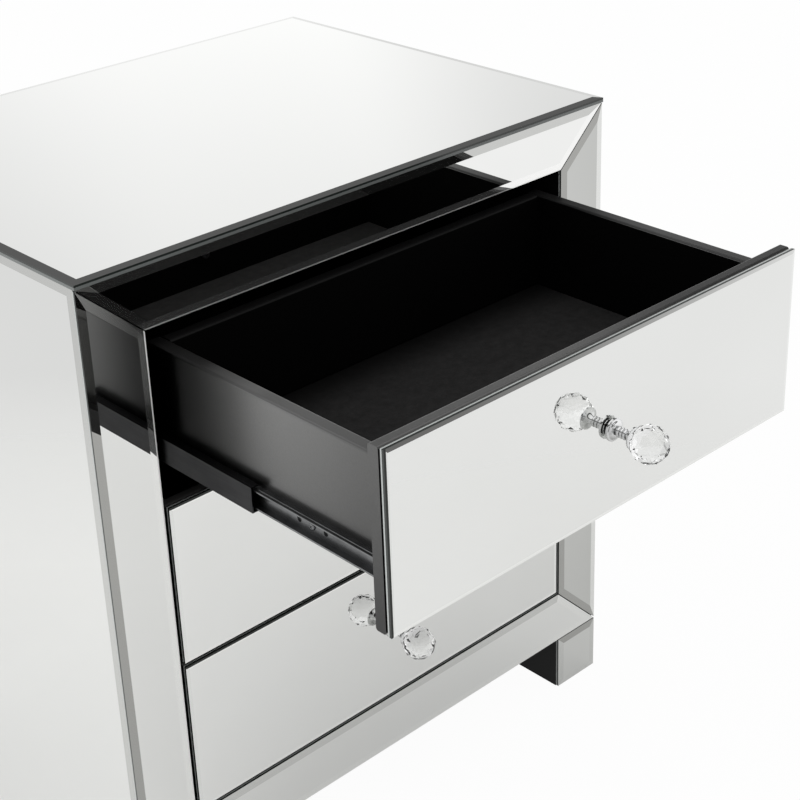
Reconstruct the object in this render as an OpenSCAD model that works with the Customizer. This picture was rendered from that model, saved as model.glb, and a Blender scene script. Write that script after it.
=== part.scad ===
// Mirrored accent chest with three drawers on ball-bearing slides.
// X runs across the front, Y from the front to the back and Z up from the floor.
// The top drawer stands pulled out and the two below it are shut.
// The origin is on the floor, at the middle of the box that holds all of that.

/* [Chest] */
// Width over the two side mirrors
chest_w = 560; // [480:5:700]
// Depth from the front mirrors to the back panel
chest_d = 430; // [380:5:520]
// Height of the feet, up to the underside of the bottom rail
foot_h = 58; // [30:1:100]
// Width of the mirrored strips that frame the front
strip_w = 55; // [45:1:80]

/* [Boards] */
// Thickness of the painted carcass boards
board_t = 15; // [12:0.5:18]
// Thickness of the back panel
back_t = 5; // [3:0.5:8]

/* [Mirrors] */
// Thickness of the glass on the front and the sides
glass_t = 4; // [3:0.5:6]
// Thickness of the glass on the top
top_glass_t = 5; // [4:0.5:8]
// Width of the ground bevel round the panes of the carcass
pane_bevel = 7; // [4:0.5:12]
// Depth that this bevel takes off the edge of a pane
pane_drop = 0.9; // [0.4:0.1:1.8]
// Width of the ground bevel round a drawer's pane
front_bevel = 3; // [2:0.5:10]
// Depth that the bevel takes off the edge of a drawer's pane
front_drop = 0.6; // [0.3:0.1:1.5]
// Width of the dark seam between neighbouring panes of the front
pane_seam = 1; // [0.4:0.1:1.6]

/* [Drawers] */
// Height of one drawer front
front_h = 144; // [130:1:200]
// Gap round each drawer front
front_gap = 4; // [2:0.5:6]
// Thickness of the board behind a drawer's pane
front_board_t = 12; // [10:0.5:18]
// Width of the shadow groove round a drawer's front, between its pane and its board
shadow_w = 2; // [1:0.1:3]
// Depth of this groove
shadow_d = 1.6; // [0.8:0.1:3]
// Thickness of a drawer's sides and back
side_t = 12; // [9:0.5:15]
// Height of a drawer's sides
box_h = 98; // [70:1:111]
// Height of a drawer's sides above the lower edge of its front
box_rise = 32; // [20:1:44]
// Thickness of a drawer's base
base_t = 4; // [3:0.5:5]
// Height of the groove for the base above the lower edge of the sides
groove_rise = 8; // [6:0.5:9]
// Depth of the groove in the sides and the front
groove_d = 6; // [4:0.5:7]
// Radius of the eased edges of the painted boards
ease_r = 2.2; // [0.5:0.1:3]

/* [Slides] */
// Length of a slide and of its three members, which is also how far it pulls out
rail_l = 250; // [200:10:330]
// Room for a slide between the side wall and the drawer
rail_room = 12.5; // [12.5:0.1:14]
// Height of a slide's centre line above the lower edge of the drawer's sides
rail_rise = 16; // [15:0.5:30]
// Distance of the slides behind the face of the front boards
rail_setback = 2; // [1:0.5:3]
// Thickness of the steel in the cabinet and drawer members
rail_steel = 1.2; // [1:0.1:1.3]
// Thickness of the steel in the middle member
middle_steel = 1; // [0.8:0.1:1.1]
// Height of the cabinet member
cabinet_rail_h = 27; // [27:0.5:30]
// Height of the middle member
middle_rail_h = 21; // [20.5:0.1:21]
// Height of the drawer member
drawer_rail_h = 15.5; // [15:0.1:15.6]
// Radius of a bearing ball
ball_r = 1.1; // [0.95:0.05:1.2]
// Distance from one ball to the next
ball_step = 16; // [8:1:20]
// Balls in one row
ball_count = 6; // [3:1:6]
// Radius of the screw holes in the slides
rail_hole_r = 2.3; // [1.5:0.1:3]
// Distance from a slide's end to its first screw hole
rail_hole_first = 54; // [20:1:60]
// Distance from one screw hole to the next
rail_hole_step = 14; // [8:0.5:20]
// Radius of the screws that hold the slides
rail_screw_r = 1.75; // [1.25:0.05:2]
// Length of these screws under the head
rail_screw_l = 10; // [6:0.5:11]
// Radius of their heads
rail_screw_head_r = 3; // [2.6:0.1:3.5]
// Height of their heads
rail_screw_head_h = 1.6; // [1:0.1:1.8]

/* [Knobs] */
// Radius of the cut crystal
crystal_r = 15; // [12:0.5:18]
// Flats round the crystal
crystal_flats = 10; // [8:1:14]
// Angle of the crystal's outermost facets above its middle
crystal_table = 64; // [58:1:70]
// Length of the metal stem, from the mirror to the crystal
stem_l = 22.5; // [21.5:0.5:32]
// Radius of the stem's round-edged foot on the mirror
stem_foot_r = 8.6; // [7:0.1:10]
// Thickness of the foot
stem_foot_h = 4.6; // [3:0.1:5.2]
// Radius of the stem's neck
stem_neck_r = 3.8; // [3.2:0.1:4.2]
// Radius of the cup that holds the crystal
stem_cup_r = 8.8; // [7.5:0.1:9]
// Radius of the half-round rings on the neck
stem_ring_r = 1.1; // [0.7:0.1:1.2]
// Number of rings
stem_rings = 4; // [1:1:4]
// Radius of the knob's screw
screw_r = 2; // [1.5:0.1:2.2]
// Radius of the screw's head
screw_head_r = 4; // [3.5:0.1:5]
// Height of the screw's head
screw_head_h = 2.4; // [1.5:0.1:3]

/* [Hidden] */
drawers = 3;

glass_colour = [0.86, 0.87, 0.86];
paint_colour = [0.07, 0.07, 0.075];
steel_colour = [0.68, 0.69, 0.7];
chrome_colour = [0.8, 0.81, 0.82];
crystal_colour = [0.93, 0.95, 0.96, 0.6];

// Heights and half widths of the carcass
half_w = chest_w / 2;
inner_w = half_w - strip_w;
rail_top = foot_h + strip_w;
chest_h = rail_top + drawers * front_h + (drawers + 1) * front_gap + strip_w;
panes_top = chest_h - top_glass_t;
frame_top = chest_h - strip_w;
boards_top = panes_top - board_t;
frame_back = glass_t + board_t;
boards_back = chest_d - back_t;

// Sizes of a drawer, measured from the front face of its mirror
front_w = 2 * (inner_w - front_gap);
box_y = glass_t + front_board_t;
box_w = 2 * (inner_w - rail_room);
box_in = box_w - 2 * side_t;
groove_h = base_t + 0.3;
rail_y = box_y + rail_setback;
rail_stroke = rail_l;
box_l = rail_setback + rail_l;

// Play between the members of a slide, and inside the knob
play = 0.1;
cage_t = 0.5;
head_room = 2.2;
cage_l = (ball_count - 1) * ball_step + 8;
cage_start = (rail_l - cage_l) / 2;
ball_z = (drawer_rail_h + middle_rail_h) / 4 - middle_steel / 2;
outer_ball_z = (cabinet_rail_h + middle_rail_h) / 4 - rail_steel / 2;
cabinet_flange = 8.6;
middle_web_u = rail_steel + head_room;
middle_flange = 7;
drawer_flange = 6.6;
cage_u = middle_web_u + middle_steel + 3 * play;
ball_u = 8.1;
outer_ball_u = 6;

// The crystal's rows of corners, as angles above its middle
crystal_rows = [-crystal_table, -40, -13, 13, 40, crystal_table];
crystal_y = stem_l + crystal_r * sin(crystal_table);
knob_reach = crystal_y + crystal_r * sin(crystal_table);
screw_bite = stem_l / 2;

// Place of the front in the model, and how far each drawer stands open
front_y = (rail_stroke + knob_reach - chest_d) / 2;
function drawer_out(k) = k == 1 ? rail_stroke : 0;
function front_z(k) = rail_top + front_gap + (drawers - k) * (front_h + front_gap);
function box_z(k) = front_z(k) + box_rise;
function rail_z(k) = box_z(k) + rail_rise;

// Outlines
function rectangle(w, h) = [[0, 0], [w, 0], [w, h], [0, h]];
function arc(centre, r, from, to, steps = 8) =
    [for (i = [0:steps]) let (a = from + (to - from) * i / steps)
        centre + r * [cos(a), sin(a)]];
function inward(a, b) = [a[1] - b[1], b[0] - a[0]] / norm(b - a);
function inset(outline, by) = let (n = len(outline)) [for (i = [0:n - 1])
    let (before = inward(outline[(i + n - 1) % n], outline[i]),
         after = inward(outline[i], outline[(i + 1) % n]))
    outline[i] + by * (before + after) / (1 + before * after)];
function mirrored(outline) = [for (i = [len(outline) - 1:-1:0]) [-outline[i][0], outline[i][1]]];

left_stile_outline = [[-half_w, foot_h], [-inner_w, rail_top], [-inner_w, frame_top],
    [-half_w, panes_top]];
top_rail_outline = [[-half_w, panes_top], [-inner_w, frame_top], [inner_w, frame_top],
    [half_w, panes_top]];
bottom_rail_outline = [[-half_w, foot_h], [half_w, foot_h], [inner_w, rail_top],
    [-inner_w, rail_top]];
left_foot_outline = [[-half_w, 0], [-inner_w, 0], [-inner_w, foot_h], [-half_w, foot_h]];

// Placing
module in_chest() translate([0, front_y, 0]) children();
module in_drawer(k, share = 1) translate([0, front_y - share * drawer_out(k), 0]) children();
module both_sides() {
    children();
    mirror([1, 0, 0]) children();
}
module board(low, high) translate(low) cube(high - low);

// Pane lying on the XY plane, with its bevel ground round the upper face
module pane(outline, thick, bevel, drop) {
    n = len(outline);
    corners = concat(
        [for (p = outline) [p[0], p[1], 0]],
        [for (p = outline) [p[0], p[1], thick - drop]],
        [for (p = inset(outline, bevel)) [p[0], p[1], thick]]
    );
    edges = [for (ring = [0, n], i = [0:n - 1]) let (next = (i + 1) % n)
        [ring + i, ring + n + i, ring + n + next, ring + next]];
    flats = [[for (i = [0:n - 1]) i], [for (i = [n - 1:-1:0]) 2 * n + i]];
    polyhedron(points = corners, faces = concat(edges, flats));
}
module front_pane(outline) translate([0, glass_t, 0]) rotate([90, 0, 0])
    pane(inset(outline, pane_seam / 2), glass_t, pane_bevel, pane_drop);

// Board with its four long edges eased, lying along X
module eased_board(length, w, h) {
    rotate([90, 0, 90]) linear_extrude(length) {
        translate([ease_r, 0]) square([w - 2 * ease_r, h]);
        translate([0, ease_r]) square([w, h - 2 * ease_r]);
        for (x = [ease_r, w - ease_r], y = [ease_r, h - ease_r])
            translate([x, y]) circle(r = ease_r, $fn = 24);
    }
}

// Mirrors of the carcass
module top_mirror() color(glass_colour) in_chest()
    translate([-half_w, 0, panes_top])
        pane(rectangle(chest_w, chest_d), top_glass_t, pane_bevel, pane_drop);
module side_mirror()
    translate([-half_w + glass_t, chest_d, 0]) rotate([90, 0, -90])
        pane(rectangle(chest_d - glass_t, panes_top), glass_t, pane_bevel, pane_drop);
module left_mirror() color(glass_colour) in_chest() side_mirror();
module right_mirror() color(glass_colour) in_chest() mirror([1, 0, 0]) side_mirror();
module left_stile_mirror() color(glass_colour) in_chest() front_pane(left_stile_outline);
module right_stile_mirror()
    color(glass_colour) in_chest() front_pane(mirrored(left_stile_outline));
module top_rail_mirror() color(glass_colour) in_chest() front_pane(top_rail_outline);
module bottom_rail_mirror() color(glass_colour) in_chest() front_pane(bottom_rail_outline);
module left_foot_mirror() color(glass_colour) in_chest() front_pane(left_foot_outline);
module right_foot_mirror()
    color(glass_colour) in_chest() front_pane(mirrored(left_foot_outline));

// Boards of the carcass
module top_board() color(paint_colour) in_chest()
    board([-half_w + glass_t, glass_t, boards_top], [half_w - glass_t, boards_back, panes_top]);
module bottom_board() color(paint_colour) in_chest()
    board([-inner_w, frame_back, foot_h], [inner_w, boards_back, foot_h + board_t]);
module side_board() board([-half_w + glass_t, frame_back, 0],
    [-half_w + glass_t + board_t, boards_back, boards_top]);
module left_side_board() color(paint_colour) in_chest() side_board();
module right_side_board() color(paint_colour) in_chest() mirror([1, 0, 0]) side_board();
module liner() difference() {
    board([-inner_w - board_t, frame_back, 0], [-inner_w, boards_back, boards_top]);
    for (k = [1:drawers]) along_slide(k, rail_steel, rail_screws_at) screw_shank();
}
module left_liner() color(paint_colour) in_chest() liner();
module right_liner() color(paint_colour) in_chest() mirror([1, 0, 0]) liner();
module stile() board([-half_w + glass_t, glass_t, 0], [-inner_w, frame_back, boards_top]);
module left_stile() color(paint_colour) in_chest() stile();
module right_stile() color(paint_colour) in_chest() mirror([1, 0, 0]) stile();
module top_rail() color(paint_colour) in_chest()
    board([-inner_w, glass_t, frame_top], [inner_w, frame_back, boards_top]);
module bottom_rail() color(paint_colour) in_chest()
    board([-inner_w, glass_t, foot_h], [inner_w, frame_back, rail_top]);
module back_panel() color(paint_colour) in_chest()
    board([-half_w + glass_t, boards_back, foot_h], [half_w - glass_t, chest_d, panes_top]);

// Hole for the knob's screw, through the pane and the board of a drawer's front
module knob_hole(k)
    translate([0, box_y + 1, front_z(k) + front_h / 2]) rotate([90, 0, 0])
        cylinder(r = screw_r + 0.25, h = box_y + 2, $fn = 32);

// One drawer
module front_mirror(k) color(glass_colour) in_drawer(k) difference() {
    translate([-front_w / 2, glass_t, front_z(k)]) rotate([90, 0, 0])
        pane(rectangle(front_w, front_h), glass_t, front_bevel, front_drop);
    knob_hole(k);
}
module front_board(k) color(paint_colour) in_drawer(k) difference() {
    union() {
        translate([-front_w / 2, glass_t + shadow_w, front_z(k)])
            eased_board(front_w, front_board_t - shadow_w, front_h);
        board([-front_w / 2 + shadow_d, glass_t, front_z(k) + shadow_d],
            [front_w / 2 - shadow_d, glass_t + shadow_w + 1, front_z(k) + front_h - shadow_d]);
    }
    knob_hole(k);
    board([-box_in / 2 - groove_d, box_y - groove_d, box_z(k) + groove_rise],
        [box_in / 2 + groove_d, box_y + 1, box_z(k) + groove_rise + groove_h]);
}
module drawer_side(k) difference() {
    translate([-box_w / 2 + side_t, box_y, box_z(k)]) rotate([0, 0, 90])
        eased_board(box_l, side_t, box_h);
    board([-box_in / 2 - groove_d, box_y - 1, box_z(k) + groove_rise],
        [-box_in / 2 + 1, box_y + box_l + 1, box_z(k) + groove_rise + groove_h]);
    along_slide(k, rail_room - rail_steel, rail_screws_at) mirror([0, 0, 1]) screw_shank();
}
module left_side(k) color(paint_colour) in_drawer(k) drawer_side(k);
module right_side(k) color(paint_colour) in_drawer(k) mirror([1, 0, 0]) drawer_side(k);
module drawer_back(k) color(paint_colour) in_drawer(k)
    translate([-box_in / 2, box_y + box_l - side_t, box_z(k) + groove_rise + base_t])
        eased_board(box_in, side_t, box_h - groove_rise - base_t);
module drawer_base(k) color(paint_colour) in_drawer(k)
    board([-box_in / 2 - groove_d + 0.3, box_y - groove_d + 0.3, box_z(k) + groove_rise],
        [box_in / 2 + groove_d - 0.3, box_y + box_l, box_z(k) + groove_rise + base_t]);

// Knob, drawn with its axis on Z and the mirror's face at z = 0
module on_front(k) in_drawer(k) translate([0, 0, front_z(k) + front_h / 2]) rotate([90, 0, 0])
    children();
module knob_stem(k) {
    foot_edge = stem_foot_h / 2;
    cup_cove = stem_cup_r - stem_neck_r;
    cup_rim = 1.2;
    ring_at = [for (i = [0:stem_rings - 1]) stem_foot_h + stem_ring_r * (1.9 + 2.2 * i)];
    profile = concat(
        [[screw_r + play, 0]],
        arc([stem_foot_r - foot_edge, foot_edge], foot_edge, -90, 90),
        [[stem_neck_r, stem_foot_h]],
        [for (t = ring_at) each arc([stem_neck_r, t], stem_ring_r, -90, 90)],
        arc([stem_cup_r, stem_l - cup_rim - cup_cove], cup_cove, 180, 90),
        [[stem_cup_r, stem_l], [0, stem_l], [0, screw_bite + 1], [screw_r + play, screw_bite + 1]]
    );
    color(chrome_colour) on_front(k) rotate_extrude($fn = 48) polygon(profile);
}
module crystal_knob(k) {
    n = crystal_flats;
    rows = len(crystal_rows);
    corners = [for (j = [0:rows - 1], i = [0:n - 1])
        let (up = crystal_rows[j], turn = 360 * (i + j / 2) / n)
            crystal_r * [cos(up) * cos(turn), cos(up) * sin(turn), sin(up)]];
    facets = [for (j = [0:rows - 2], i = [0:n - 1])
        let (a = j * n + i, b = j * n + (i + 1) % n)
            each [[b, a, a + n], [b, a + n, b + n]]];
    flats = [[for (i = [0:n - 1]) i], [for (i = [n - 1:-1:0]) (rows - 1) * n + i]];
    color(crystal_colour) on_front(k) translate([0, 0, crystal_y])
        polyhedron(points = corners, faces = concat(facets, flats));
}
module knob_screw(k) {
    head_top = -box_y - screw_head_h;
    color(steel_colour) on_front(k) difference() {
        rotate_extrude($fn = 32) polygon(concat(
            [[0, head_top]],
            arc([screw_head_r - 1.6, head_top + 1.6], 1.6, 270, 360, 5),
            [[screw_head_r, -box_y], [screw_r, -box_y], [screw_r, screw_bite], [0, screw_bite]]
        ));
        for (turn = [0, 90]) rotate([0, 0, turn]) translate([-2.2, -0.45, head_top - 1])
            cube([4.4, 0.9, 2.4]);
    }
}

// Slides, drawn on the left: u is the distance from the side wall towards the drawer
module channel(web, depth, height) {
    translate([0, -height / 2]) square([web, height]);
    translate([0, -height / 2]) square([depth, web]);
    translate([0, height / 2 - web]) square([depth, web]);
}
module races(u, z, r) for (side = [-1, 1]) translate([u, side * z]) circle(r = r, $fn = 24);
module rail(k, length, start = 0)
    translate([-inner_w, rail_y + start + length, rail_z(k)]) rotate([90, 0, 0])
        linear_extrude(length) children();
module balls(k, u, z, start) for (i = [0:ball_count - 1], side = [-1, 1])
    translate([-inner_w + u, rail_y + start + i * ball_step, rail_z(k) + side * z])
        sphere(r = ball_r, $fn = 16);

rail_holes = [for (i = [0:2], far = [0, 1]) let (at = rail_hole_first + i * rail_hole_step)
    far == 1 ? rail_l - at : at];
rail_screws_at = [for (far = [0, 1]) let (at = rail_hole_first + rail_hole_step)
    far == 1 ? rail_l - at : at];

// Turns Z to point from the drawer to the side wall, at each place along a slide
module along_slide(k, u, places) for (at = places)
    translate([-inner_w + u, rail_y + at, rail_z(k)]) rotate([0, -90, 0]) children();
module slide_holes(k, u)
    along_slide(k, u + 2, rail_holes) cylinder(r = rail_hole_r, h = 4, $fn = 24);
module screw_shank() translate([0, 0, -1]) cylinder(r = rail_screw_r, h = rail_screw_l + 1, $fn = 24);
module pan_screw() difference() {
    edge = rail_screw_head_h - 0.3;
    rotate_extrude($fn = 24) polygon(concat(
        [[0, -rail_screw_head_h]],
        arc([rail_screw_head_r - edge, -0.3], edge, 270, 360, 4),
        [[rail_screw_head_r, 0], [rail_screw_r, 0], [rail_screw_r, rail_screw_l],
            [0, rail_screw_l]]
    ));
    for (turn = [45, 135]) rotate([0, 0, turn]) translate([-1.6, -0.3, -rail_screw_head_h - 1])
        cube([3.2, 0.6, 1.9]);
}

module cabinet_rails(k) color(steel_colour) in_chest() both_sides() difference() {
    rail(k, rail_l) difference() {
        channel(rail_steel, cabinet_flange, cabinet_rail_h);
        races(outer_ball_u, outer_ball_z, ball_r + play);
    }
    slide_holes(k, 0);
}
module middle_rails(k) color(steel_colour) in_drawer(k, 0.5) both_sides() {
    rail(k, rail_l) difference() {
        translate([middle_web_u, 0]) channel(middle_steel, middle_flange, middle_rail_h);
        races(ball_u, ball_z, ball_r + play);
        races(outer_ball_u, outer_ball_z, ball_r - play);
    }
    balls(k, outer_ball_u, outer_ball_z, rail_l - 20 - (ball_count - 1) * ball_step);
}
module ball_cages(k) color(chrome_colour) in_drawer(k, 0.75) both_sides() {
    rail(k, cage_l, cage_start)
        translate([cage_u, 0]) channel(cage_t, 5.7, 2 * ball_z + cage_t);
    balls(k, ball_u, ball_z, cage_start + 4);
}
module drawer_rails(k) color(steel_colour) in_drawer(k) both_sides() difference() {
    rail(k, rail_l) difference() {
        translate([rail_room, 0]) mirror([1, 0])
            channel(rail_steel, drawer_flange, drawer_rail_h);
        races(ball_u, ball_z, ball_r + play);
    }
    slide_holes(k, rail_room);
}
module cabinet_screws() color(steel_colour) in_chest() both_sides()
    for (k = [1:drawers]) along_slide(k, rail_steel, rail_screws_at) pan_screw();
module drawer_screws(k) {
    knob_screw(k);
    color(steel_colour) in_drawer(k) both_sides()
        along_slide(k, rail_room - rail_steel, rail_screws_at) mirror([0, 0, 1]) pan_screw();
}

top_mirror();
left_mirror();
right_mirror();
left_stile_mirror();
right_stile_mirror();
top_rail_mirror();
bottom_rail_mirror();
left_foot_mirror();
right_foot_mirror();
top_board();
bottom_board();
left_side_board();
right_side_board();
left_liner();
right_liner();
left_stile();
right_stile();
top_rail();
bottom_rail();
back_panel();
cabinet_screws();
for (k = [1:drawers]) {
    front_mirror(k);
    front_board(k);
    left_side(k);
    right_side(k);
    drawer_back(k);
    drawer_base(k);
    crystal_knob(k);
    knob_stem(k);
    drawer_screws(k);
    drawer_rails(k);
    middle_rails(k);
    ball_cages(k);
    cabinet_rails(k);
}
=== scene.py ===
import math

import bpy
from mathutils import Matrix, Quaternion, Vector


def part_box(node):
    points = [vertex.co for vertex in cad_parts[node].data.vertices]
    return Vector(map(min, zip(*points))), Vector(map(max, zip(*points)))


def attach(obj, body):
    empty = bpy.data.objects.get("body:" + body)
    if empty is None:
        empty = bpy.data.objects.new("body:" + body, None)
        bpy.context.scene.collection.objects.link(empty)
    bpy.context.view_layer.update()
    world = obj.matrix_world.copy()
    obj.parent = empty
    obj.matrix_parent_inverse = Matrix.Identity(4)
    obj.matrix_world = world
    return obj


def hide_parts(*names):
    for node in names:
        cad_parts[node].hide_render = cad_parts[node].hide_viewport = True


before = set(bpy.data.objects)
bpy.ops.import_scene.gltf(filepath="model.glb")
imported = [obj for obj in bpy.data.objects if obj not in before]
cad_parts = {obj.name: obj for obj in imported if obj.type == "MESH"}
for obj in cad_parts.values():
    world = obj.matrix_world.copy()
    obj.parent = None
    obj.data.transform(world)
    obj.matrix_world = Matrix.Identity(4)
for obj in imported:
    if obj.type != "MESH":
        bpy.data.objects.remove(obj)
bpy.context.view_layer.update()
print("frame loaded:", len(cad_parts), "nodes")

# Places that the looks are worked out from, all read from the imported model
topLow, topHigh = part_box("top_mirror")
frontFace = topLow[1]
drawerNumbers = (1, 2, 3)

slant = -0.707  # x and y, each times this, add up to a way towards the camera's side


# A socket that plain sums work on, so shader maths reads as Python
class Tone:
    def __init__(self, finish, socket):
        self.finish = finish
        self.socket = socket

    def __add__(self, other):
        return self.finish.sum("ADD", self, other)

    def __radd__(self, other):
        return self.finish.sum("ADD", other, self)

    def __sub__(self, other):
        return self.finish.sum("SUBTRACT", self, other)

    def __rsub__(self, other):
        return self.finish.sum("SUBTRACT", other, self)

    def __mul__(self, other):
        return self.finish.sum("MULTIPLY", self, other)

    def __rmul__(self, other):
        return self.finish.sum("MULTIPLY", other, self)

    def __truediv__(self, other):
        return self.finish.sum("DIVIDE", self, other)

    def __rtruediv__(self, other):
        return self.finish.sum("DIVIDE", other, self)

    def __pow__(self, other):
        return self.finish.sum("POWER", self, other)

    def __rpow__(self, other):
        return self.finish.sum("POWER", other, self)

    def __gt__(self, other):
        return self.finish.sum("GREATER_THAN", self, other)

    def __lt__(self, other):
        return self.finish.sum("LESS_THAN", self, other)

    def __abs__(self):
        return self.finish.sum("ABSOLUTE", self)


# A material or world tree, filled by one method that adds any node
class Finish:
    def __init__(self, owner):
        owner.use_nodes = True
        self.tree = owner.node_tree
        self.tree.nodes.clear()

    def add(self, kind, settings=None, values=None):
        node = self.tree.nodes.new(kind)
        for name, setting in (settings or {}).items():
            setattr(node, name, setting)
        for name, value in (values or {}).items():
            self.feed(node.inputs[name], value)
        return node

    def feed(self, socket, value):
        if isinstance(value, Tone):
            self.tree.links.new(value.socket, socket)
        elif isinstance(value, bpy.types.NodeSocket):
            self.tree.links.new(value, socket)
        else:
            if socket.type == "RGBA" and len(value) == 3:
                value = (*value, 1)
            socket.default_value = value

    def sum(self, operation, *values):
        node = self.add("ShaderNodeMath", {"operation": operation}, dict(enumerate(values)))
        return Tone(self, node.outputs[0])

    def split(self, vector):
        parts = self.add("ShaderNodeSeparateXYZ", values={0: vector}).outputs
        return [Tone(self, part) for part in parts]

    def place(self):
        return self.split(self.add("ShaderNodeTexCoord").outputs["Object"])

    def normal(self):
        return self.split(self.add("ShaderNodeTexCoord").outputs["Normal"])

    # A smooth slope from low, where the value is under start, to high, where it is over end
    def ease(self, value, start, end, low, high):
        node = self.add("ShaderNodeMapRange", {"interpolation_type": "SMOOTHSTEP"}, {
            "Value": value, "From Min": start, "From Max": end, "To Min": low, "To Max": high})
        return Tone(self, node.outputs[0])

    def noise(self, scale, detail, roughness=0.5, stretch=(1, 1, 1)):
        place = self.add("ShaderNodeMapping", values={
            "Vector": self.add("ShaderNodeTexCoord").outputs["Object"], "Scale": stretch})
        node = self.add("ShaderNodeTexNoise", values={
            "Vector": place.outputs[0], "Scale": scale, "Detail": detail, "Roughness": roughness})
        return Tone(self, node.outputs[0])

    # A Mix node takes its colours at 6 and 7 and gives one at 2, because their names repeat
    def mixColour(self, share, first, second):
        node = self.add("ShaderNodeMix", {"data_type": "RGBA"}, {0: share, 6: first, 7: second})
        return node.outputs[2]

    def mixShader(self, share, first, second):
        values = {0: share, 1: first.outputs[0], 2: second.outputs[0]}
        return self.add("ShaderNodeMixShader", values=values)

    def bump(self, height, strength, distance):
        values = {"Height": height, "Strength": strength, "Distance": distance}
        return self.add("ShaderNodeBump", values=values).outputs[0]

    def surface(self, **values):
        named = {name.replace("_", " "): value for name, value in values.items()}
        shader = self.add("ShaderNodeBsdfPrincipled", values=named)
        self.add("ShaderNodeOutputMaterial", values={"Surface": shader.outputs[0]})


def newMaterial(name):
    material = bpy.data.materials.new(name)
    return material, Finish(material)


# Silvered plate glass. The silver lies flat behind a ground bevel, so the bevel bends the picture
# inwards. The bevel is painted grey or bright with the side it leans to, as painted reflection,
# and is a little milky. The front panes' silver is painted darker and the top rail's brighter, as
# painted shade and painted light. A pane's edge is a pale ground rim behind a dark polished
# corner, the top pane's rim darker
mirrorLook = {
    "silver": (0.872, 0.876, 0.862), "silverFar": (0.862, 0.868, 0.856),
    "frontSilverPaintedShade": (0.81, 0.814, 0.8), "silverPaintedShade": (0.5, 0.505, 0.49),
    "railSilverPaintedLight": (0.99, 0.99, 0.98), "rim": (0.42, 0.44, 0.43), "topRim": (0.14, 0.15, 0.147),
    "corner": (0.02, 0.024, 0.022), "cornerDepth": 0.0026, "rimRoughness": 0.16, "ior": 1.52,
    "topBend": 1, "frameBend": -0.52, "lowBend": 0.15, "facing": 0.8, "leaning": 0.04,
    "flat": 0.9995, "milk": 0.016, "cloudScale": 6, "wipeScale": 38, "wipeRoughness": 0.6,
    "polish": 0.012,
}
# Tones that bevels and edge lines are painted with, as painted reflection, highlight and shade
bevelTones = {
    "bright": (0.99, 0.99, 0.98), "fair": (0.88, 0.885, 0.87), "light": (0.8, 0.805, 0.79),
    "pale": (0.62, 0.625, 0.61), "grey": (0.4, 0.4, 0.385), "dim": (0.13, 0.13, 0.125),
    "dark": (0.04, 0.042, 0.04),
}

# The ways that a pane looks and a bevel leans, each as an axis and a direction on it
ways = {
    "left": (0, -1), "right": (0, 1), "front": (1, -1), "back": (1, 1), "down": (2, -1),
    "up": (2, 1),
}


# outward is the way that the pane looks, and face its place on that axis. Each of leans is the way
# that a bevel leans, the tone it is painted as painted reflection, and maybe a second tone towards
# its right end. Painted shade darkens the silver all over by one amount, and more to the right by
# another. Each of lines is an edge painted as a line, bright ones as painted highlights and dark
# ones as painted shade: the side it lies on, its place, width, tone and milkiness
def mirrorFinish(name, outward, face, bend, leans, near="silver", paintedShadeRight=0.0, paintedShadeAll=0.0, lines=()):
    material, finish = newMaterial(name)
    look = mirrorLook
    across = ways[outward][0]
    place = finish.place()
    normal = finish.normal()
    facing = abs(normal[across]) > look["facing"]
    cloud = finish.noise(look["cloudScale"], detail=2)
    silver = finish.mixColour(cloud, look[near], look["silverFar"])
    rightward = place[0] / (topHigh[0] - topLow[0]) + 0.5
    # Painted shade: the silver darkened all over and towards the right
    if paintedShadeRight or paintedShadeAll:
        silver = finish.mixColour(rightward * paintedShadeRight + paintedShadeAll, silver, look["silverPaintedShade"])
    # Painted reflection: each bevel tinted by the way it leans
    for way, tone, *rightTone in leans:
        axis, direction = ways[way]
        colour = bevelTones[tone]
        if rightTone:
            colour = finish.mixColour(rightward ** 2, colour, bevelTones[rightTone[0]])
        silver = finish.mixColour(normal[axis] * direction > look["leaning"], silver, colour)
    milk = (abs(normal[across]) < look["flat"]) * look["milk"]
    # Painted edge lines: bright ones as painted highlights, dark ones as painted shade
    for way, line, width, tone, share in lines:
        axis, direction = ways[way]
        along = place[axis] * direction > line * direction - width
        silver = finish.mixColour(along, silver, bevelTones[tone])
        milk = milk + along * share
    inFront = abs(abs(place[across]) - abs(face)) < look["cornerDepth"]
    edge = finish.mixColour(inFront, look["topRim" if outward == "up" else "rim"], look["corner"])
    keep = 1 - facing * (1 - bend)
    turned = [part if axis == across else part * keep for axis, part in enumerate(normal)]
    joined = finish.add("ShaderNodeCombineXYZ", values=dict(enumerate(turned))).outputs[0]
    unit = finish.add("ShaderNodeVectorMath", {"operation": "NORMALIZE"}, {0: joined}).outputs[0]
    wipe = finish.noise(look["wipeScale"], detail=4, roughness=look["wipeRoughness"])
    finish.surface(
        Base_Color=finish.mixColour(facing, edge, silver),
        Metallic=facing * (1 - milk),
        Roughness=(1 - facing) * look["rimRoughness"] + (wipe ** 3) * look["polish"],
        Normal=unit,
        IOR=look["ior"],
    )
    return material


# Satin black paint on fibreboard, with a fine orange peel
paintLook = {
    "black": (0.003, 0.003, 0.003), "paler": (0.007, 0.007, 0.007), "cloudScale": 14,
    "peelScale": 900, "peelStrength": 0.12, "peelDepth": 0.0003, "gloss": 0.34, "cloudy": 0.1,
    "ior": 1.27,
}


def blackPaint():
    material, finish = newMaterial("blackPaint")
    look = paintLook
    cloud = finish.noise(look["cloudScale"], detail=4)
    peel = finish.noise(look["peelScale"], detail=2)
    finish.surface(
        Base_Color=finish.mixColour(cloud, look["black"], look["paler"]),
        Roughness=cloud * look["cloudy"] + look["gloss"],
        Normal=finish.bump(peel, look["peelStrength"], look["peelDepth"]),
        IOR=look["ior"],
    )
    return material


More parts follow.
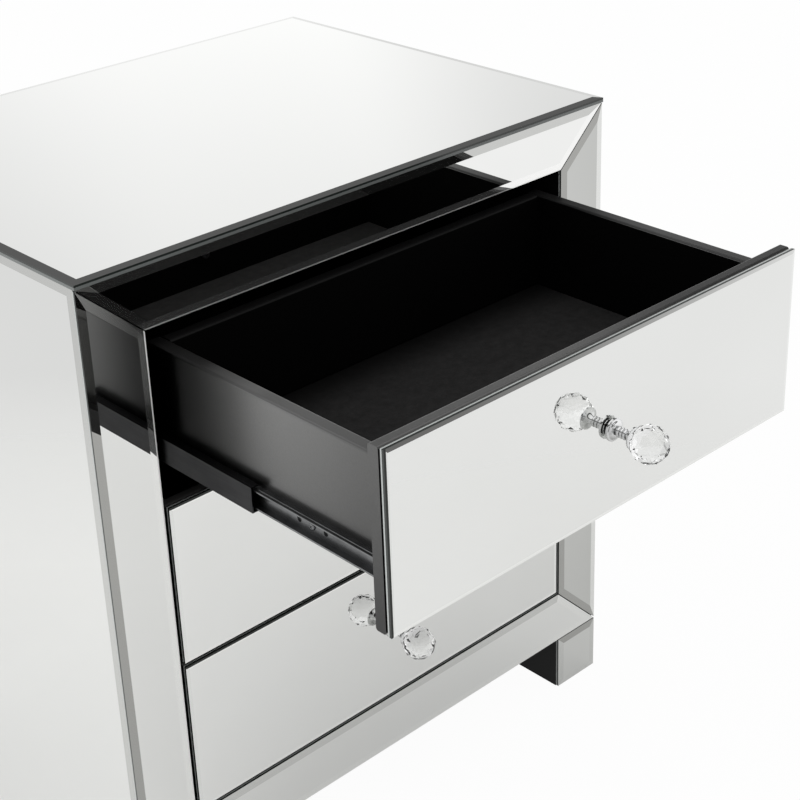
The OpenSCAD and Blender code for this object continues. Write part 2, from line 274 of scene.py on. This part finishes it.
# Hardboard back, its fibres upright
backLook = {
    "fibre": (0.035, 0.031, 0.028), "dark": (0.012, 0.012, 0.012), "scale": 240,
    "roughness": 0.7, "stretch": (1, 1, 0.25), "matt": 0.62, "fibrous": 0.2, "strength": 0.25,
    "depth": 0.0004,
}


def backFinish():
    material, finish = newMaterial("backHardboard")
    look = backLook
    fibres = finish.noise(
        look["scale"], detail=5, roughness=look["roughness"], stretch=look["stretch"])
    finish.surface(
        Base_Color=finish.mixColour(fibres, look["dark"], look["fibre"]),
        Roughness=look["matt"] + fibres * look["fibrous"],
        Normal=finish.bump(fibres, look["strength"], look["depth"]),
    )
    return material


# A drawer's boards: dark foil with a satin coat outside, and a painted sheen that gives way to
# painted shade near the back, at the front and low down. Edges that face up are painted paler as
# painted light, which gives way to painted shade towards the back and the right. Black flock lines
# the box, its floor painted paler in tufts as painted light, with painted shade towards the back.
# A slope is its start, its end and its two values
drawerLook = {
    "satinPaintedSheen": (0.134, 0.134, 0.132), "satinPaintedShade": (0.012, 0.012, 0.012),
    "upwardPaintedLight": (0.065, 0.065, 0.064), "flock": (0.0008, 0.0008, 0.0008),
    "paler": (0.01, 0.01, 0.01), "paintedLightTip": (0.038, 0.037, 0.037),
    "flockBackShadeSlope": (0.01, 0.065, 0.15, 1), "backShadeSlope": (0.045, 0.15, 0, 1),
    "paintedLeftLightSlope": (-0.06, 0.1, 1, 0.3), "aheadFrom": 0.15, "frontPaintedShade": 0.4, "lowPaintedShade": 0.5,
    "skin": 0.0004, "lining": 0.0015, "upward": 0.5, "grainScale": 700, "grainRoughness": 0.75,
    "grainLeast": 0.75, "grainSpan": 0.5, "tuftScale": 1500, "napScale": 120,
    "pileRoughness": 0.7, "tip": 1.6, "peelScale": 800, "peelStrength": 0.12,
    "peelDepth": 0.0004, "gloss": 0.27, "grainy": 0.1, "flockMatt": 0.5, "ior": 1.15,
    "coatRoughness": 0.22, "coatIor": 1.8,
}


def drawerFinish(number):
    material, finish = newMaterial(f"drawerBoards{number}")
    look = drawerLook
    sideLow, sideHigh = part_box(f"drawer_{number}_left_side")
    boardLow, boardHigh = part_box(f"drawer_{number}_front_board")
    x, y, z = finish.place()
    between = abs(x) < abs(sideHigh[0]) + look["skin"]
    behind = y > boardHigh[1] - look["skin"]
    lined = between * behind * (z < sideHigh[2] - look["lining"])
    upward = finish.normal()[2] > look["upward"]
    fromBack = sideHigh[1] - y
    fade = finish.ease(fromBack, *look["backShadeSlope"])
    ahead = finish.ease(
        fromBack, look["aheadFrom"], sideHigh[1] - boardLow[1], 1, 1 - look["frontPaintedShade"])
    lower = (sideHigh[2] - z) / (sideHigh[2] - sideLow[2])
    grain = finish.noise(look["grainScale"], detail=4, roughness=look["grainRoughness"])
    speckle = grain * look["grainSpan"] + look["grainLeast"]
    # Painted sheen, giving way to painted shade near the back, at the front and low down
    paintedSheen = fade * ahead * (1 - lower * look["lowPaintedShade"]) * speckle
    # Painted light on the edges that face up, less towards the right
    paintedLeftLight = finish.ease(x, *look["paintedLeftLightSlope"])
    satinPaintedSheen = finish.mixColour(paintedSheen, look["satinPaintedShade"], look["satinPaintedSheen"])
    upwardPaintedLight = finish.mixColour(fade * paintedLeftLight, look["satinPaintedShade"], look["upwardPaintedLight"])
    foil = finish.mixColour(upward, satinPaintedSheen, upwardPaintedLight)
    tufts = finish.noise(look["tuftScale"], detail=2, roughness=look["pileRoughness"])
    nap = finish.noise(look["napScale"], detail=4, roughness=look["pileRoughness"])
    pile = finish.mixColour(tufts * nap * look["tip"], look["paler"], look["paintedLightTip"])
    # Painted light on the flock's floor, giving way to painted shade towards the back
    paler = finish.ease(fromBack, *look["flockBackShadeSlope"])
    flock = finish.mixColour(paler * upward, look["flock"], pile)
    peel = finish.noise(look["peelScale"], detail=2)
    rough = peel * (1 - lined) + tufts * lined
    finish.surface(
        Base_Color=finish.mixColour(lined, foil, flock),
        Metallic=(1 - lined) * (1 - upward),
        Roughness=lined * look["flockMatt"] + look["gloss"] + grain * look["grainy"],
        Normal=finish.bump(rough, look["peelStrength"], look["peelDepth"]),
        IOR=look["ior"],
        Coat_Weight=(1 - lined) * paintedSheen * (1 - upward * (1 - paintedLeftLight)),
        Coat_Roughness=look["coatRoughness"],
        Coat_IOR=look["coatIor"],
    )
    return material


# Zinc-plated steel, rolled along the slide; the members inside the cabinet are made dark, as
# painted shade where the chest shades them
steelLook = {
    "zincSteel": ((0.3, 0.305, 0.31), (0.09, 0.092, 0.095)),
    "paintedShadeSteel": ((0.05, 0.05, 0.052), (0.02, 0.02, 0.022)),
    "streakScale": 420, "streakRoughness": 0.6, "stretch": (1, 0.04, 1), "spangleScale": 60,
    "spread": 1.8, "streaky": 0.16, "gloss": 0.24, "strength": 0.1, "depth": 0.0002,
}


def slideSteel(name):
    material, finish = newMaterial(name)
    look = steelLook
    streaks = finish.noise(
        look["streakScale"], detail=4, roughness=look["streakRoughness"], stretch=look["stretch"])
    spangle = finish.noise(look["spangleScale"], detail=3)
    bright, dull = look[name]
    finish.surface(
        Base_Color=finish.mixColour(streaks * spangle * look["spread"], bright, dull),
        Metallic=1.0,
        Roughness=streaks * look["streaky"] + look["gloss"],
        Normal=finish.bump(streaks, look["strength"], look["depth"]),
    )
    return material


# Bright steel of the ball cages, with a little grime
cageLook = {
    "bright": (0.72, 0.73, 0.74), "grimy": (0.5, 0.5, 0.48), "scale": 180, "grime": 0.2,
    "gloss": 0.14,
}


def cageSteel():
    material, finish = newMaterial("cageSteel")
    grime = finish.noise(cageLook["scale"], detail=4)
    finish.surface(
        Base_Color=finish.mixColour(grime, cageLook["bright"], cageLook["grimy"]),
        Metallic=1.0,
        Roughness=grime * cageLook["grime"] + cageLook["gloss"],
    )
    return material


# Chrome plate of a knob's stem, painted greyer where it leans down as painted reflection, and
# painted dark in the grooves between its rings and at its collar as painted shade, most on the
# grooves' lower side. Out is the distance from the mirror's face
chromeLook = {
    "bright": (0.95, 0.955, 0.96), "hazed": (0.88, 0.885, 0.89), "below": (0.4, 0.405, 0.4),
    "groove": (0.03, 0.03, 0.032), "grooveSlope": (0.0031, 0.0042, 1, 0), "ringsEnd": 0.0166,
    "collarEnd": 0.0017, "downSlope": (-0.55, 0.45, 1, 0), "leastDeep": 0.2, "moreDeep": 0.8,
    "hazeScale": 260, "haze": 0.03, "gloss": 0.02,
}


def chromePlate(number):
    material, finish = newMaterial(f"chromePlate{number}")
    look = chromeLook
    low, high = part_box(f"drawer_{number}_knob_stem")
    x, y, z = finish.place()
    up = z - (low[2] + high[2]) / 2
    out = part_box(f"drawer_{number}_front_mirror")[0][1] - y
    # Painted shade in the grooves and at the collar, most where the stem leans down
    grooveShade = finish.ease((x * x + up * up) ** 0.5, *look["grooveSlope"])
    down = finish.ease(finish.normal()[2], *look["downSlope"])
    grooveShade = grooveShade * (out < look["ringsEnd"]) * (down * look["moreDeep"] + look["leastDeep"])
    haze = finish.noise(look["hazeScale"], detail=3)
    plate = finish.mixColour(haze, look["bright"], look["hazed"])
    # Painted reflection: greyer where the stem leans down
    plate = finish.mixColour(down, plate, look["below"])
    finish.surface(
        Base_Color=finish.mixColour(grooveShade + (out < look["collarEnd"]), plate, look["groove"]),
        Metallic=1.0,
        Roughness=haze * look["haze"] + look["gloss"],
    )
    return material


# Clear crystal of the knobs
crystalLook = {
    "clear": (1.0, 1.0, 1.0), "hazed": (0.985, 0.99, 0.99), "scale": 90, "haze": 0.004,
    "ior": 1.54,
}


def cutCrystal():
    material, finish = newMaterial("cutCrystal")
    haze = finish.noise(crystalLook["scale"], detail=3)
    finish.surface(
        Base_Color=finish.mixColour(haze, crystalLook["clear"], crystalLook["hazed"]),
        Roughness=haze * crystalLook["haze"],
        IOR=crystalLook["ior"],
        Transmission_Weight=1.0,
    )
    return material


# Edges of the panes that show as lines: the frame's bevels and arrises round the opening, made
# milky and painted bright as a painted highlight, and a painted dark line along one edge of a
# drawer's pane. These are widths, but for the milk
edgeLook = {
    "bevel": 0.0068, "bevelMilk": 0.024, "arris": 0.0012, "railMilk": 0.25, "stileMilk": 0.95,
    "ground": 0.0017,
}


def arrisLines(way, line, tone, share):
    return [
        (way, line, edgeLook["bevel"], tone, edgeLook["bevelMilk"]),
        (way, line, edgeLook["arris"], tone, share)]


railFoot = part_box("top_rail_mirror")[0][2]
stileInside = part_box("left_stile_mirror")[1][0]
topBend, frameBend, lowBend = (mirrorLook[name] for name in ("topBend", "frameBend", "lowBend"))
# The panes' bevels are painted with tones as painted reflection
stileLeans = [("up", "light"), ("right", "light"), ("left", "grey")]
mirrorTop = mirrorFinish(
    "mirrorTop", "up", topHigh[2], topBend, [("right", "pale"), ("back", "pale")])
mirrorSide = mirrorFinish("mirrorSide", "left", topLow[0], frameBend, [
    ("front", "pale"), ("up", "pale"), ("back", "bright")])
mirrorTopRail = mirrorFinish("mirrorTopRail", "front", frontFace, frameBend, [
    ("up", "pale"), ("down", "bright"), ("right", "bright")], "railSilverPaintedLight",
    lines=arrisLines("down", railFoot, "bright", edgeLook["railMilk"]))
mirrorLeftStile = mirrorFinish(
    "mirrorLeftStile", "front", frontFace, frameBend, stileLeans, "frontSilverPaintedShade", paintedShadeAll=0.18,
    lines=arrisLines("right", stileInside, "light", edgeLook["stileMilk"]))
mirrorRightStile = mirrorFinish(
    "mirrorRightStile", "front", frontFace, frameBend, stileLeans, "frontSilverPaintedShade", paintedShadeRight=0.8)
mirrorRail = mirrorFinish("mirrorRail", "front", frontFace, lowBend, [
    ("up", "pale"), ("down", "light"), ("right", "light"), ("left", "light")], "frontSilverPaintedShade",
    paintedShadeAll=0.2)
mirrorFoot = mirrorFinish("mirrorFoot", "front", frontFace, lowBend, [
    ("up", "grey"), ("right", "pale"), ("left", "pale")], "frontSilverPaintedShade", paintedShadeRight=0.58)


# A drawer that stands open at rest has its top bevel painted dim, turning fair to the right, and a
# painted dark line down its left edge. One that is flush with the frame has a fair top bevel, a
# painted dark line along its top edge, and its silver painted darker to the right. All of these
# are painted reflection and painted shade
drawerPaneLook = {"flush": 0.001, "shutPaintedShadeRight": 0.26, "openPaintedShadeRight": 0.0}


def drawerMirror(number):
    (left, face, _), (_, _, upper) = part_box(f"drawer_{number}_front_mirror")
    leans = [("down", "fair"), ("right", "fair"), ("left", "light")]
    if abs(face - frontFace) < drawerPaneLook["flush"]:
        leans.append(("up", "fair"))
        lines, paintedShadeRight = [("up", upper, edgeLook["ground"], "dark", 0)], "shutPaintedShadeRight"
    else:
        leans.append(("up", "dim", "fair"))
        lines, paintedShadeRight = [("left", left, edgeLook["ground"], "dark", 0)], "openPaintedShadeRight"
    return mirrorFinish(
        f"mirrorDrawer{number}", "front", face, lowBend, leans, "frontSilverPaintedShade",
        paintedShadeRight=drawerPaneLook[paintedShadeRight], lines=lines)


paint = blackPaint()
hardboard = backFinish()
steel = slideSteel("zincSteel")
paintedShadeSteel = slideSteel("paintedShadeSteel")
cages = cageSteel()
crystal = cutCrystal()
chrome = {number: chromePlate(number) for number in drawerNumbers}
print("finishes made")


def dress(node, material):
    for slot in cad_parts[node].material_slots:
        slot.material = material


# The first ending that a node's name has gives its finish; every other part of the carcass is
# painted
endings = {
    "top_mirror": mirrorTop, "top_rail_mirror": mirrorTopRail, "foot_mirror": mirrorFoot,
    "left_stile_mirror": mirrorLeftStile, "right_stile_mirror": mirrorRightStile,
    "bottom_rail_mirror": mirrorRail, "left_mirror": mirrorSide, "right_mirror": mirrorSide,
    "middle_rails": paintedShadeSteel, "cabinet_rails": paintedShadeSteel, "drawer_rails": steel,
    "screws": steel, "cages": cages, "crystal_knob": crystal, "back_panel": hardboard,
}
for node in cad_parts:
    found = [material for ending, material in endings.items() if node.endswith(ending)]
    if found:
        dress(node, found[0])
    elif not node.startswith("drawer_"):
        dress(node, paint)

for number in drawerNumbers:
    boards = drawerFinish(number)
    for board in ("front_board", "left_side", "right_side", "back", "base"):
        dress(f"drawer_{number}_{board}", boards)
    dress(f"drawer_{number}_front_mirror", drawerMirror(number))
    dress(f"drawer_{number}_knob_stem", chrome[number])
print("CAD nodes dressed")

# Turned chrome stem of a knob. Places are distances out from the mirror's face, and ringStart and
# ringPitch are counted in rings' half widths
stemLook = {
    "sides": 64, "bore": 0.0021, "boreDepth": 0.01225, "collar": 0.0062, "collarEnd": 0.0021,
    "disc": 0.0092, "discEdge": 0.0042, "chamfer": 0.0004, "land": 0.0012, "dome": 0.0042,
    "domeSteps": 7, "foot": 0.0064, "neck": 0.003, "ring": 0.0013, "ringDepth": 0.0014,
    "ringStart": 1.9, "ringPitch": 2.2, "rings": 3, "ringSteps": 8, "cup": 0.0088,
    "cove": 0.0052, "coveSteps": 8, "rim": 0.001, "lip": 0.0002, "length": 0.0225,
    "weld": 0.000005, "sharp": 38,
}


# Radius and place of each ring of corners, from inside the bore round the outside to the cup
def stemRows():
    look = stemLook
    bore, collar, disc, neck, cup = (
        look[name] for name in ("bore", "collar", "disc", "neck", "cup"))
    collarEnd, discEdge, chamfer = look["collarEnd"], look["discEdge"], look["chamfer"]
    rows = [
        (bore, look["boreDepth"]), (bore, 0), (collar, 0), (collar, collarEnd),
        (disc - chamfer, collarEnd), (disc, collarEnd + chamfer), (disc, discEdge - chamfer),
        (disc - chamfer, discEdge), (disc - look["land"], discEdge),
    ]
    for step in range(1, look["domeSteps"] + 1):
        turn = math.radians(90 * step / look["domeSteps"])
        rows.append((
            neck + look["dome"] * math.cos(turn),
            discEdge + (look["foot"] - discEdge) * math.sin(turn)))
    for ring in range(look["rings"]):
        middle = look["foot"] + look["ring"] * (look["ringStart"] + look["ringPitch"] * ring)
        for step in range(look["ringSteps"] + 1):
            turn = math.radians(-90 + 180 * step / look["ringSteps"])
            rows.append((
                neck + look["ringDepth"] * math.cos(turn),
                middle + look["ring"] * math.sin(turn)))
    coveOut = look["length"] - look["rim"] - look["cove"]
    for step in range(look["coveSteps"] + 1):
        turn = math.radians(180 - 90 * step / look["coveSteps"])
        rows.append((cup + (cup - neck) * math.cos(turn), coveOut + look["cove"] * math.sin(turn)))
    rows += [(cup, look["length"] - look["lip"]), (cup - look["lip"], look["length"])]
    return rows


def makeStem():
    mirrorLow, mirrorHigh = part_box("drawer_1_front_mirror")
    face, middle = mirrorLow[1], (mirrorLow[2] + mirrorHigh[2]) / 2
    rows = stemRows()
    radius, out = rows[0]
    bpy.ops.object.select_all(action="DESELECT")
    bpy.ops.mesh.primitive_circle_add(
        vertices=stemLook["sides"], radius=radius, fill_type="TRIFAN",
        location=(0, face - out, middle), rotation=(math.radians(90), 0, 0))
    stem = bpy.context.object
    stem.name = "knobStem1"
    bpy.ops.object.transform_apply(location=True, rotation=True, scale=True)
    bpy.ops.object.mode_set(mode="EDIT")
    bpy.ops.mesh.select_mode(type="EDGE")
    bpy.ops.mesh.select_all(action="SELECT")
    bpy.ops.mesh.region_to_loop()
    for nextRadius, nextOut in rows[1:]:
        bpy.ops.mesh.extrude_edges_move(TRANSFORM_OT_translate={"value": (0, out - nextOut, 0)})
        if nextRadius != radius:
            size = nextRadius / radius
            bpy.ops.transform.resize(
                value=(size, 1, size), center_override=(0, face - nextOut, middle))
        radius, out = nextRadius, nextOut
    bpy.ops.mesh.extrude_edges_move(TRANSFORM_OT_translate={"value": (0, 0, 0)})
    bpy.ops.mesh.merge(type="CENTER")  # closes the cup's face
    bpy.ops.mesh.select_all(action="SELECT")
    bpy.ops.mesh.remove_doubles(threshold=stemLook["weld"])
    bpy.ops.mesh.normals_make_consistent(inside=False)
    bpy.ops.object.mode_set(mode="OBJECT")
    bpy.ops.object.shade_smooth_by_angle(angle=math.radians(stemLook["sharp"]))
    return stem


def copyStem(stem, number):
    low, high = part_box("drawer_1_front_mirror")
    newLow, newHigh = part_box(f"drawer_{number}_front_mirror")
    bpy.ops.object.select_all(action="DESELECT")
    stem.select_set(True)
    bpy.context.view_layer.objects.active = stem
    bpy.ops.object.duplicate(linked=False)
    copy = bpy.context.object
    copy.name = f"knobStem{number}"
    rise = (newLow[2] + newHigh[2] - low[2] - high[2]) / 2
    bpy.ops.transform.translate(value=(0, newLow[1] - low[1], rise))
    bpy.ops.object.transform_apply(location=True, rotation=True, scale=True)
    return copy


stems = {1: makeStem()}
for number in drawerNumbers[1:]:
    stems[number] = copyStem(stems[1], number)
for number, stem in stems.items():
    stem.data.materials.clear()
    stem.data.materials.append(chrome[number])
    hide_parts(f"drawer_{number}_knob_stem")
    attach(stem, f"drawer_{number}")
print("knob stems turned")

# The camera stands in front of the chest's left corner
cameraLook = {
    "place": (-0.8479, -1.0225, 1.0879), "azimuth": -42.352, "elevation": 24.996,
    "roll": -2.168, "focalPixels": 1714.7, "framePixels": 800, "sensor": 36.0, "shiftY": -0.1,
    "clip": (0.02, 60),
}


def makeCamera():
    look = cameraLook
    data = bpy.data.cameras.new("camera")
    camera = bpy.data.objects.new("camera", data)
    bpy.context.scene.collection.objects.link(camera)
    azimuth, elevation = math.radians(look["azimuth"]), math.radians(look["elevation"])
    back = Vector((
        math.sin(azimuth) * math.cos(elevation), -math.cos(azimuth) * math.cos(elevation),
        math.sin(elevation)))
    roll = Quaternion((0, 0, 1), math.radians(look["roll"]))
    camera.location = look["place"]
    camera.rotation_mode = "QUATERNION"
    camera.rotation_quaternion = (-back).to_track_quat("-Z", "Y") @ roll
    data.sensor_width = look["sensor"]
    data.lens = look["focalPixels"] / look["framePixels"] * look["sensor"]
    data.shift_y = look["shiftY"]
    data.clip_start, data.clip_end = look["clip"]
    bpy.context.scene.camera = camera


makeCamera()

# Floor: white to the camera, its own shading in the mirrors with painted shade towards the
# camera's side, fading out to the room's light, and clear from below
floorLook = {
    "size": 12.0, "below": 0.0002, "paper": (0.86, 0.86, 0.85), "paperFar": (0.88, 0.88, 0.87),
    "grainScale": 30, "roughness": 0.4, "shade": (0.01, 0.01, 0.01), "white": 0.965,
    "mirrored": 0.36, "near": 0.75, "far": 1.25, "dimSlope": (0.55, 0.95, 0, 0.3),
}


def makeFloor():
    look = floorLook
    bpy.ops.object.select_all(action="DESELECT")
    bpy.ops.mesh.primitive_plane_add(size=look["size"], location=(0, 0, -look["below"]))
    bpy.ops.object.transform_apply(location=True, rotation=True, scale=True)
    floor = bpy.context.object
    floor.name = "floor"
    material, finish = newMaterial("floorPaper")
    path = finish.add("ShaderNodeLightPath").outputs
    camera, mirrored = Tone(finish, path["Is Camera Ray"]), Tone(finish, path["Is Glossy Ray"])
    x, y, _ = finish.place()
    reach = (x * x + y * y) ** 0.5
    away = (reach - look["near"]) / (look["far"] - look["near"])
    fade = Tone(finish, finish.add("ShaderNodeClamp", values={"Value": away}).outputs[0])
    # Painted shade on the floor in the mirrors, towards the camera's side
    dim = finish.ease((x + y) * slant, *look["dimSlope"])
    grain = finish.noise(look["grainScale"], detail=3)
    paper = finish.add("ShaderNodeBsdfPrincipled", values={
        "Base Color": finish.mixColour(grain, look["paper"], look["paperFar"]),
        "Diffuse Roughness": look["roughness"], "Specular IOR Level": 0.0})
    white = finish.add("ShaderNodeEmission", values={"Color": (1, 1, 1), "Strength": 1.0})
    shade = finish.add("ShaderNodeBsdfDiffuse", values={"Color": look["shade"]})
    clear = finish.add("ShaderNodeBsdfTransparent")
    glow = camera * look["white"] + mirrored * look["mirrored"]
    shown = finish.mixShader(mirrored * dim, finish.mixShader(glow, paper, white), shade)
    fromBelow = Tone(finish, finish.add("ShaderNodeNewGeometry").outputs["Backfacing"])
    through = mirrored * fade * (1 - fromBelow) + fromBelow
    mixed = finish.mixShader(through, shown, clear)
    finish.add("ShaderNodeOutputMaterial", values={"Surface": mixed.outputs[0]})
    floor.data.materials.append(material)


makeFloor()

# The room's light: white to the camera, and to the mirrors a pale room with darker gaps. A slope
# is its start, its end and its two values
roomLook = {
    "fill": 0.8, "pale": 0.88, "sideways": 0.07, "haze": 0.03, "ceiling": (0.4, 0.445, 0, 1),
    "overhead": (0.64, 0.72, 0.1, 0.95), "glow": (0.2, 0.4, 0.17, 0),
    "rising": (-0.12, 0.12, 0, 1), "behindChest": (0.05, 0.4, 0, 1),
    "backRight": (0.62, 0.72, 0, 0.22), "backLeft": (0.42, 0.54, 0.1, 0),
    "behindCamera": (0.35, 0.7, 0, 0.3),
}


def makeRoom():
    look = roomLook
    world = bpy.data.worlds.new("room")
    bpy.context.scene.world = world
    finish = Finish(world)
    path = finish.add("ShaderNodeLightPath").outputs
    x, y, z = finish.split(finish.add("ShaderNodeTexCoord").outputs["Generated"])
    above = finish.ease(z, *look["ceiling"])
    over = finish.ease(z, *look["overhead"])
    low = finish.ease(z, *look["glow"])
    rising = finish.ease(z, *look["rising"])
    behindChest = finish.ease(y, *look["behindChest"])
    right = finish.ease(x, *look["backRight"]) * behindChest
    left = finish.ease(x, *look["backLeft"]) * behindChest
    behindCamera = finish.ease((x + y) * slant, *look["behindCamera"])
    wall = low * rising * behindChest + look["pale"]
    wall = wall * (x * look["sideways"] + 1) * (1 - right - left)
    wall = (wall + behindChest * look["haze"]) * (1 - behindCamera)
    room = above * over + (1 - above) * wall
    glossy = Tone(finish, path["Is Glossy Ray"])
    seen = finish.sum("MAXIMUM", path["Is Camera Ray"], path["Is Transmission Ray"])
    strength = seen + (1 - seen) * (glossy * room + (1 - glossy) * look["fill"])
    background = finish.add("ShaderNodeBackground", values={
        "Color": (1, 1, 1), "Strength": strength})
    finish.add("ShaderNodeOutputWorld", values={"Surface": background.outputs[0]})


makeRoom()

lampLook = {
    "left": {"place": (-2.0, 0.7, 1.1), "aim": (-0.2, -0.2, 0.4), "size": 2.2, "power": 22},
    "top": {"place": (-0.2, -0.7, 2.6), "aim": (0, -0.3, 0.3), "size": 2.4, "power": 9},
}


def makeLamps():
    for name, look in lampLook.items():
        data = bpy.data.lights.new(name, "AREA")
        data.shape = "SQUARE"
        data.size = look["size"]
        data.energy = look["power"]
        lamp = bpy.data.objects.new(name, data)
        bpy.context.scene.collection.objects.link(lamp)
        lamp.location = look["place"]
        aim = Vector(look["aim"]) - Vector(look["place"])
        lamp.rotation_mode = "QUATERNION"
        lamp.rotation_quaternion = aim.to_track_quat("-Z", "Y")
        lamp.visible_camera = False
        lamp.visible_glossy = False


makeLamps()
print("camera, room and lamps made")

bpy.context.scene.view_settings.view_transform = "Standard"
